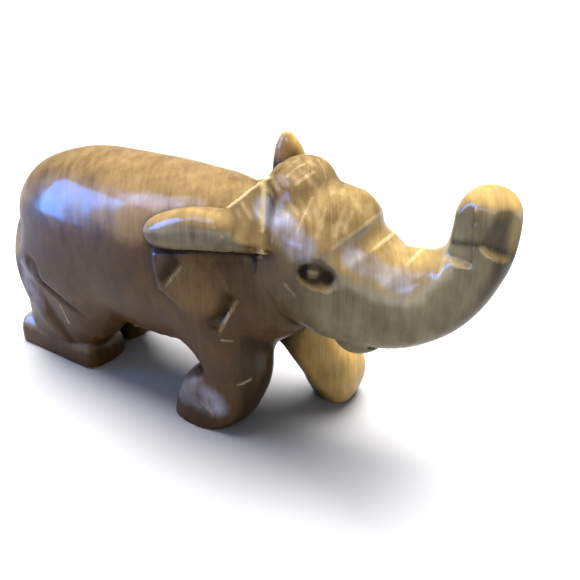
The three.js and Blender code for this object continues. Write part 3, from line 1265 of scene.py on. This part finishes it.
@dataclass(frozen=True)
class WaxedWood:
    """Waxed hardwood: streaks in slanting upright planes, with painted light and shade: golden lit
    tops, shaded sides and fronts, painted reflections and highlights, and painted shade in
    hollows.
    """

    name: str = "waxed_wood"
    # Painted top light and shade: golden and pale are the lit tops at the rear and at the head,
    # brown and olive the shaded sides.
    golden: Colour = (0.134, 0.093, 0.046, 1.0)
    pale: Colour = (0.205, 0.150, 0.066, 1.0)
    brown: Colour = (0.057, 0.029, 0.009, 1.0)
    olive: Colour = (0.142, 0.125, 0.078, 1.0)
    # Painted sheen on forward faces that half look up.
    painted_sheen_grey: Colour = (0.260, 0.250, 0.215, 1.0)
    # Painted shade on faces that look forward.
    painted_front_shade: Colour = (0.026, 0.015, 0.005, 1.0)
    # Painted warm light.
    painted_warm_light: Colour = (0.430, 0.290, 0.100, 1.0)
    # Painted bluish reflection.
    painted_reflection: Colour = (0.195, 0.200, 0.265, 1.0)
    # Painted shade in hollows and pits.
    painted_shade: Colour = (0.012, 0.008, 0.005, 1.0)
    # Pale wear and painted highlights on edges, ridges and strokes.
    wear_and_highlight: Colour = (0.46, 0.38, 0.24, 1.0)
    darker: Colour = (0.55, 0.52, 0.48, 1.0)
    lighter: Colour = (1.45, 1.48, 1.50, 1.0)
    streak_waves: Stretch = (620.0, 60.0, 28.0)
    fine_waves: Stretch = (2600.0, 160.0, 70.0)
    cloud_waves: Stretch = (38.0, 38.0, 38.0)
    mottle_waves: Stretch = (190.0, 120.0, 90.0)
    wax_roughness: float = 0.15
    wood_roughness: float = 0.42
    wax: float = 0.25
    wax_ior: float = 1.5
    shine: float = 0.04
    relief: float = 0.2
    relief_height: float = 0.0003

    def make(self) -> bpy.types.Material:
        """Build the material.

        Returns:
            The material with its nodes.
        """
        material = bpy.data.materials.new(self.name)
        bench = Bench(material)
        streaks = bench.noise(self.streak_waves, 3.0, 0.6)
        fine = bench.noise(self.fine_waves, 2.0)
        cloud = bench.noise(self.cloud_waves, 3.0, 0.55)
        mottle = bench.noise(self.mottle_waves, 3.0, 0.6)
        upward = bench.attribute("upward")
        forward = bench.attribute("forward")
        # Masks of painted shade: pits, concave hollows and closed-in places.
        painted_pit_shade = bench.attribute("painted_pit_shade")
        hollow = (bench.attribute("hollow") * 0.6 + bench.attribute("painted_occlusion_shade").rise(0.1, 0.7)).clamp()
        patchy = (cloud - 0.5) * 0.7 + (mottle - 0.5) * 0.5
        # Painted top light and shade: what faces up gets the lit golden and pale colours, the rest
        # the shaded brown and olive, with the head's colours apart from the rear's.
        painted_top_light = (upward * (1.0 - forward * 0.3) + patchy).rise(0.2, 0.75)
        shaded = forward.mix(self.brown, self.olive)
        # Painted sheen: pale grey on forward faces that half look up.
        shaded = (upward.rise(0.1, 0.5) * forward * 0.8).mix(shaded, self.painted_sheen_grey)
        colour = painted_top_light.mix(shaded, forward.mix(self.golden, self.pale))
        # Painted shade on faces that look forward and not up.
        colour = (bench.attribute("ahead") * 0.9).mix(colour, self.painted_front_shade)
        # Painted warm light on the left front leg, an ear's tip, a flap and the trunk's cap.
        colour = (bench.attribute("painted_warm_light") * 0.9).mix(colour, self.painted_warm_light)
        # Painted bluish reflection on the rump, a foot, the temple, the trunk and the back.
        painted_reflection = (bench.attribute("painted_reflection") * (0.7 + patchy * 2.5)).clamp()
        colour = painted_reflection.mix(colour, self.painted_reflection)
        light = (streaks - 0.5) * 0.7 + (fine - 0.5) * 0.4 + (mottle - 0.5) * 1.4 + (cloud - 0.5)
        light = (light + 0.5).clamp()
        colour = bench.blend("MULTIPLY", 1.0, colour, light.mix(self.darker, self.lighter))
        # Painted shade in hollows and creases, then deeper painted shade in the pits.
        colour = (hollow * (0.6 + cloud * 0.6)).clamp().mix(colour, self.painted_shade)
        colour = (painted_pit_shade * 0.7).clamp().mix(colour, self.painted_shade)
        # Pale edges, ridges, scratches and knife strokes: wear and painted highlights.
        edge = bench.attribute("edge") * (0.2 + cloud * 1.4)
        wear_and_highlight = (edge + bench.attribute("ridge") * (0.6 + patchy * 1.5)).rise(0.3, 0.9)
        wear_and_highlight = (wear_and_highlight + bench.attribute("stroke") * (0.3 + patchy * 3.0).clamp()).clamp()
        colour = (wear_and_highlight * 0.6).mix(colour, self.wear_and_highlight)
        rough = self.wood_roughness + (streaks - 0.5) * 0.25 + hollow * 0.2
        height = streaks * 0.5 + fine * 0.5
        relief = {"Strength": self.relief, "Distance": self.relief_height, "Height": height}
        bump = bench.node("ShaderNodeBump", {}, relief)
        bench.surface(
            {
                "Base Color": colour,
                "Roughness": rough,
                "Normal": bump,
                "Coat Weight": (1.0 - hollow - painted_pit_shade).clamp() * self.wax,
                "Coat Roughness": self.wax_roughness,
                "IOR": self.wax_ior,
                "Specular IOR Level": self.shine,
            }
        )
        return material


def place_object(name: str, data: bpy.types.ID) -> bpy.types.Object:
    """Put an object into the scene.

    Args:
        name: The object's name.
        data: Its mesh, light or camera.

    Returns:
        The object.
    """
    made = bpy.data.objects.new(name, data)
    bpy.context.scene.collection.objects.link(made)
    return made


@dataclass(frozen=True)
class PaleFloor:
    """The plain pale surface that the elephant stands on."""

    name: str = "pale_floor"
    colour: Colour = (0.32, 0.34, 0.40, 1.0)
    roughness: float = 0.9
    half_size: float = 9.0

    def lay(self) -> bpy.types.Object:
        """Returns:
            The floor.
        """
        h = self.half_size
        mesh = bpy.data.meshes.new(self.name)
        mesh.from_pydata([(-h, -h, 0), (h, -h, 0), (h, h, 0), (-h, h, 0)], [], [(0, 1, 2, 3)])
        floor = place_object(self.name, mesh)
        material = bpy.data.materials.new(self.name)
        Bench(material).surface({"Base Color": self.colour, "Roughness": self.roughness})
        mesh.materials.append(material)
        return floor


@dataclass
class PaintedLightAndWear:
    """How the skin is painted with light and shade (lit tops, shaded fronts, warm light, bluish
    reflections, shade in hollows) and with wear and glints on edges and scratches, from 0 to 1 at
    each point.
    """

    skin: Skin
    block: Block
    head: Head
    edge_reach: int = 3
    hollow_reach: int = 14
    soft: float = 4.5
    # Lines along which a pale bluish reflection is painted.
    painted_reflection_lines: tuple[Stroke, ...] = (
        ((-80.0, -25.0, 44.0), (-79.0, -25.0, 28.0), 6.0),
        ((-4.0, -22.0, 14.0), (12.0, -24.0, 15.0), 8.0),
        ((-100.0, -14.0, 14.0), (-92.0, -14.0, 14.0), 5.0),
        ((33.0, -17.0, 89.0), (46.0, -19.0, 80.0), 5.0),
        ((59.0, -12.5, 78.0), (73.0, -10.2, 73.0), 4.5),
        ((-24.0, -20.6, 82.0), (6.0, -15.0, 85.5), 2.6),
    )
    # Lines of pale scratches and painted glints.
    scratches_and_glints: tuple[Stroke, ...] = (
        ((29.5, -13.5, 96.5), (33.4, -20.6, 83.7), 1.3),
        ((23.2, -21.7, 89.6), (29.5, -14.0, 96.8), 1.0),
        ((21.2, -22.6, 88.3), (24.9, -28.4, 82.4), 1.0),
        ((41.4, -21.5, 68.9), (45.1, -20.9, 65.4), 1.0),
        ((18.6, -24.2, 43.3), (21.9, -22.6, 43.1), 0.9),
        ((29.5, -19.0, 73.5), (33.1, -20.5, 75.1), 1.0),
        ((-70.7, -22.0, 72.6), (-69.0, -23.7, 67.1), 0.8),
        ((-63.3, -24.2, 31.8), (-62.3, -22.5, 22.9), 1.0),
        ((43.3, -9.3, 91.8), (43.5, -17.3, 84.7), 1.1),
        ((48.6, -10.6, 89.9), (49.1, -16.4, 83.6), 1.1),
        ((23.4, -22.6, 25.9), (26.2, -18.9, 27.2), 0.9),
        ((8.1, -24.0, 11.8), (11.9, -23.8, 10.2), 1.5),
        ((35.2, -10.0, 97.1), (37.5, -4.3, 99.6), 1.1),
        ((38.7, -10.6, 95.5), (40.9, -4.3, 97.8), 1.1),
        ((38.7, 1.8, 99.5), (43.0, -0.8, 95.4), 1.0),
        ((34.3, -6.9, 99.2), (34.3, -1.2, 100.2), 0.9),
        ((52.8, -7.2, 90.9), (53.4, -13.7, 84.2), 1.4),
        ((55.2, -7.5, 89.3), (55.4, -11.7, 84.8), 1.2),
    )

    def __post_init__(self) -> None:
        """Keep the points' coordinates, where y is how far they are from the middle plane."""
        self.points, self.normals = self.skin.points, self.skin.normals()
        self.x, self.left, self.z = self.points.T
        self.y = np.abs(self.left)

    def roll(self, low: float, high: float) -> np.ndarray:
        """Tell which points are on the ears' rolls, faded in between two heights."""
        found = smooth_step(24.0, 26.5, self.y) * smooth_step(low, high, self.z)
        return found * (self.x < 31.0) * (self.x > -14.0)

    def cross(self, wide: float) -> np.ndarray:
        """Tell which points are within a width of the cut across the trunk under its tip."""
        line = self.head.cross_line(self.x, self.z, wide) * smooth_step(80.0, 82.0, self.x)
        return line * smooth_step(93.0, 91.0, self.x) * smooth_step(3.0, 6.0, self.y)

    def oval(self, x: float, z: float, long: float, high: float) -> np.ndarray:
        """Measure points against an ellipse seen from the side, whose rim is at 1."""
        return np.hypot((self.x - x) / long, (self.z - z) / high)

    def walls(self) -> list[tuple[np.ndarray, np.ndarray]]:
        """Measure points against the walls of the gouged hollows in each flap.

        Returns:
            For each hollow, how surely points lie between the wall's ends, and how far behind it.
        """
        found = []
        for (ax, _, az), (bx, _, bz) in FLAP_WALLS:
            run = math.hypot(bx - ax, bz - az)
            along = ((self.x - ax) * (bx - ax) + (self.z - az) * (bz - az)) / run
            behind = ((self.x - ax) * (bz - az) - (self.z - az) * (bx - ax)) / run
            here = smooth_step(-1.0, 1.0, along) * smooth_step(run + 1.0, run - 1.0, along)
            found.append((here * (self.y > 15.0), behind))
        return found

    def upward(self) -> np.ndarray:
        """Tell how much each point faces up and gets the painted golden top light.

        Returns:
            From 0 to 1 for each point.
        """
        temple = smooth_step(26.0, 32.0, self.x) * smooth_step(62.0, 54.0, self.x)
        raised = np.maximum(temple * smooth_step(78.0, 86.0, self.z), self.roll(76.0, 80.0))
        lifted = np.minimum(smooth_step(0.0, 0.6, self.normals[:, 2]) + 0.3 * raised, 1.0)
        low = smooth_step(20.0, 22.0, self.y) * smooth_step(18.0, 21.0, self.x)
        low = low * smooth_step(82.5, 78.5, self.z) * (self.x < 34.0)
        return lifted * ((1.0 - 0.75 * low) * (1.0 - self.cross(self.soft)))

    def ahead(self) -> np.ndarray:
        """Tell how much each point of the trunk and the legs faces forward and not up, for the
        painted front shade.

        Returns:
            From 0 to 1 for each point.
        """
        facing = smooth_step(0.45, 0.85, self.normals[:, 0])
        facing *= smooth_step(0.62, 0.2, self.normals[:, 2])
        rim = smooth_step(96.5, 98.5, self.x) * smooth_step(80.0, 87.0, self.z)
        facing *= 1.0 - 0.8 * rim
        return facing * smooth_step(70.0, 82.0, self.x + 100.0 * (self.z < 45.0))

    def forward(self) -> np.ndarray:
        """Tell how far forward points are, with the ears' rolls taken as partly forward."""
        return np.maximum(smooth_step(25.0, 75.0, self.x), 0.75 * self.roll(73.0, 75.0))

    def painted_warm_light(self) -> np.ndarray:
        """Tell where painted warm light falls: the left front leg, an ear's tip, a flap, the cap.

        Returns:
            From 0 to 1 for each point.
        """
        x, z = self.x, self.z
        away = smooth_step(4.0, 9.0, self.left) * smooth_step(4.0, 10.0, x)
        away *= 1.0 - 0.6 * smooth_step(0.2, 0.8, self.normals[:, 1])
        flap = smooth_step(16.0, 6.0, np.hypot(x - 12.0, z - 62.0)) * (self.y > 22.0)
        leg = smooth_step(48.0, 34.0, z) * smooth_step(-7.0, 3.0, x - 37.0 + 0.6 * (z - 8.0))
        tip = 0.8 * smooth_step(92.0, 97.0, z)
        cap = smooth_step(81.0, 84.0, x) * smooth_step(94.0, 97.0, z)
        rim = smooth_step(96.5, 98.5, x) * smooth_step(82.0, 88.0, z)
        found = np.maximum(away * np.maximum(leg, tip), 0.13 * flap)
        return np.maximum(found, 0.3 * np.maximum(cap, rim))

    def painted_reflection(self) -> np.ndarray:
        """Tell where a pale bluish reflection is painted, which is fainter on the back."""
        back = (self.x < 20.0) & (self.z > 78.0)
        return touched(self.points, self.painted_reflection_lines) * np.where(back, 0.35, 1.0)

    def painted_pit_shade(self) -> np.ndarray:
        """Tell where painted shade lies deep: in the eyes, the gouged hollows and the cross cut.

        Returns:
            From 0 to 1 for each point.
        """
        socket, ball = self.oval(51.4, 72.2, 6.2, 4.2), self.oval(49.2, 73.1, 2.6, 2.0)
        found = 0.65 * smooth_step(1.3, 0.4, socket) * smooth_step(0.6, 1.1, ball)
        found = found * (self.y > 15.0)
        for here, behind in self.walls():
            # Painted shade on the floor behind each hollow's wall.
            painted_shade = smooth_step(0.2, 1.0, behind) * smooth_step(6.5, 2.5, behind)
            found = np.maximum(found, here * painted_shade)
        return np.maximum(found, self.cross(self.head.cross_wide))

    def ridge(self) -> np.ndarray:
        """Tell which points are on the pale edges of the trunk's ridges and the hollows' walls,
        lightened as wear and painted highlight.

        Returns:
            From 0 to 1 for each point.
        """
        lines = self.head.ridge_lines(self.points)
        found = np.maximum(lines, touched(self.points, self.scratches_and_glints))
        # A pale patch on the brow: wear and painted highlight.
        brow = np.linalg.norm((self.points - (52.0, -14.0, 86.0)) / (8.0, 6.0, 6.0), axis=1)
        found = np.maximum(found, 0.7 * smooth_step(1.1, 0.4, brow))
        for here, behind in self.walls():
            # Pale line along each hollow's wall: wear and painted highlight.
            found = np.maximum(found, 0.85 * here * smooth_step(1.3, 0.5, np.abs(behind + 0.3)))
        return found

    def edge(self) -> np.ndarray:
        """Tell which points are on sharp edges, lightened as wear and painted highlight, but not
        round the eyes and the cross cut.

        Returns:
            From 0 to 1 for each point.
        """
        sharp = smooth_step(0.10, 0.36, self.skin.sharpness(self.edge_reach))
        apart = smooth_step(1.2, 2.2, self.oval(51.4, 72.6, 6.2, 3.6))
        return sharp * (apart * (1.0 - self.cross(self.soft)))

    def painted_occlusion_shade(self) -> np.ndarray:
        """Tell how closed in each point is, from how fast the wood falls away in front of it, for
        the painted shade there.

        Returns:
            From 0 in the open to 1 in a deep cut.
        """
        total = np.zeros(len(self.points))
        for reach in (1.5, 3.0, 6.0, 10.0):
            room = self.block.sample(self.points + self.normals * reach)
            total += np.clip(1.0 - room / reach, 0.0, 1.0) / 4
        return total

    def mark(self, mesh: bpy.types.Mesh) -> None:
        """Keep the painted light, shade and wear at the mesh's points, under the names that the
        finish reads.

        Args:
            mesh: The mesh that gets the numbers.
        """
        marks = {
            "upward": self.upward(),
            "ahead": self.ahead(),
            "painted_warm_light": self.painted_warm_light(),
            "painted_reflection": self.painted_reflection(),
            "painted_pit_shade": self.painted_pit_shade(),
            "ridge": self.ridge(),
            "edge": self.edge(),
            # Knife strokes on the crown, lightened as wear and painted highlight.
            "stroke": smooth_step(0.02, 0.3, self.head.chips(self.points.T)),
            # Painted shade in concave hollows.
            "hollow": smooth_step(-0.10, -0.75, self.skin.sharpness(self.hollow_reach)),
            "painted_occlusion_shade": self.painted_occlusion_shade(),
            "forward": self.forward(),
        }
        for name, values in marks.items():
            layer = mesh.attributes.new(name, "FLOAT", "POINT")
            layer.data.foreach_set("value", values.astype(np.float32))


@dataclass(frozen=True)
class Elephant:
    """The whole carving: its parts in the order in which they are carved."""

    body: Body = Body()
    legs: Legs = Legs()
    head: Head = Head()
    finish: WaxedWood = WaxedWood()
    unevenness: float = 0.025
    rounds: int = 4

    def carve(self) -> Block:
        """Carve the block.

        Returns:
            The carved wood.
        """
        block = Block()
        self.body.shape(block)
        self.legs.shape(block)
        self.head.shape(block)
        for side in Side:
            Ear(side).shape(block, self.body.trunk)
        self.head.chisel(block)
        block.shave(block.low, block.high, self.waves)
        for side in Side:
            Eye(side).shape(block)
        self.body.lay_tail(block)
        block.saw_base()
        return block

    def waves(self, place: Coordinates) -> np.ndarray:
        """Depth of the shallow waves that the knife leaves all over.

        Args:
            place: Coordinates of a block of points.

        Returns:
            The depth to take off, which may be a little below 0.
        """
        x, y, z = place
        waves = np.sin(0.37 * x + 0.21 * z + 1.0) * np.sin(0.29 * z - 0.13 * x + 0.3 * y)
        waves += 0.6 * np.sin(0.61 * x - 0.33 * y) * np.sin(0.52 * z + 0.24 * x + 2.0)
        return self.unevenness * waves

    def build(self) -> bpy.types.Object:
        """Mesh the carving, dress it and put it in the solid's place.

        Returns:
            The finished piece.
        """
        block = self.carve()
        skin = block.skin()
        skin.relax(block, self.rounds)
        low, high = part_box("elephant")
        points = np.clip(skin.points + SHIFT, np.array(low) / MM, np.array(high) / MM)
        mesh = bpy.data.meshes.new("elephant_skin")
        mesh.from_pydata((points * MM).tolist(), [], skin.faces.tolist())
        mesh.update()
        mesh.polygons.foreach_set("use_smooth", [True] * len(mesh.polygons))
        PaintedLightAndWear(skin, block, self.head).mark(mesh)
        piece = place_object("carved_elephant", mesh)
        mesh.materials.append(self.finish.make())
        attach(piece, "root")
        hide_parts("elephant")
        return piece


def way_to(azimuth: float, elevation: float) -> Vector:
    """Direction from the elephant to a place so many degrees round it and above the floor."""
    a, e = math.radians(azimuth), math.radians(elevation)
    return Vector((math.sin(a) * math.cos(e), -math.cos(a) * math.cos(e), math.sin(e)))


@dataclass(frozen=True)
class Lamp:
    """A soft light, so many metres wide and high, that shows as a reflection in the wax."""

    name: str
    azimuth: float
    elevation: float
    distance: float
    size: tuple[float, float]
    watts: float
    colour: Colour

    def hang(self, aim: Vector) -> None:
        """Make the light, which shines only in the gloss.

        Args:
            aim: The point that it shines on.
        """
        way = way_to(self.azimuth, self.elevation)
        light = bpy.data.lights.new(self.name, "AREA")
        light.shape = "RECTANGLE"
        light.size, light.size_y = self.size
        light.energy = self.watts
        light.color = self.colour
        lamp = place_object(self.name, light)
        lamp.location = aim + way * self.distance
        lamp.rotation_mode = "QUATERNION"
        lamp.rotation_quaternion = way.to_track_quat("Z", "Y")
        lamp.visible_diffuse = False


@dataclass(frozen=True)
class Key:
    """The broad warm light that falls from above on all of the floor alike."""

    name: str = "warm_key"
    strength: float = 15.0
    colour: Colour = (1.0, 0.92, 0.78)
    breadth: float = 50.0
    turned: tuple[float, float, float] = (-12.0, -7.0, 0.0)

    def hang(self) -> None:
        """Make the light, which shines but is not mirrored in the wax."""
        light = bpy.data.lights.new(self.name, "SUN")
        light.energy = self.strength
        light.color = self.colour
        light.angle = math.radians(self.breadth)
        key = place_object(self.name, light)
        key.rotation_euler = [math.radians(angle) for angle in self.turned]
        key.location = (0.0, 0.0, 1.0)
        key.visible_glossy = False


@dataclass(frozen=True)
class Studio:
    """The floor, the lights and the camera at the photograph's viewing angle."""

    azimuth: float = 32.0
    elevation: float = 28.0
    distance: float = 0.200
    aim: Point = (0.0335, -0.001, 0.054)
    film: float = 36.0
    focal: float = 590.0 / 580.0
    nearest: float = 0.01
    sky: Colour = (1.0, 0.95, 0.86, 1.0)
    sky_strength: float = 0.4
    lamps: tuple[Lamp, ...] = (
        Lamp("window", -64.0, 14.5, 0.7, (0.20, 0.40), 13.0, (0.10, 0.32, 1.0)),
        Lamp("sky_band", -52.0, 45.0, 1.0, (0.44, 0.30), 7.0, (0.34, 0.44, 1.0)),
        Lamp("sky_patch", -14.0, 23.0, 1.0, (0.40, 0.12), 5.0, (0.34, 0.42, 1.0)),
    )

    def build(self) -> None:
        """Make the floor, the lights and the camera."""
        PaleFloor().lay()
        aim = Vector(self.aim)
        for lamp in self.lamps:
            lamp.hang(aim)
        Key().hang()
        world = bpy.data.worlds.new("room")
        bpy.context.scene.world = world
        world.use_nodes = True
        sky = world.node_tree.nodes["Background"]
        sky.inputs["Color"].default_value = self.sky
        sky.inputs["Strength"].default_value = self.sky_strength
        self.place_camera(aim)

    def place_camera(self, aim: Vector) -> None:
        """Put the camera at the photograph's viewing angle.

        Args:
            aim: The point in the middle of the picture.
        """
        back = way_to(self.azimuth, self.elevation)
        data = bpy.data.cameras.new("camera")
        data.sensor_width = self.film
        data.lens = self.film * self.focal
        data.clip_start = self.nearest
        camera = place_object("camera", data)
        camera.location = aim + back * self.distance
        camera.rotation_mode = "QUATERNION"
        camera.rotation_quaternion = (-back).to_track_quat("-Z", "Y")
        bpy.context.scene.camera = camera


def main() -> None:
    """Build the elephant and its studio."""
    logging.basicConfig(level=logging.INFO, format="%(message)s", stream=sys.stdout)
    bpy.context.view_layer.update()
    piece = Elephant().build()
    mesh = piece.data
    log.info("%s: %d points, %d faces", piece.name, len(mesh.vertices), len(mesh.polygons))
    Studio().build()
    bpy.context.scene.view_settings.view_transform = "Standard"
    bpy.context.view_layer.update()


if __name__ == "__main__":
    main()
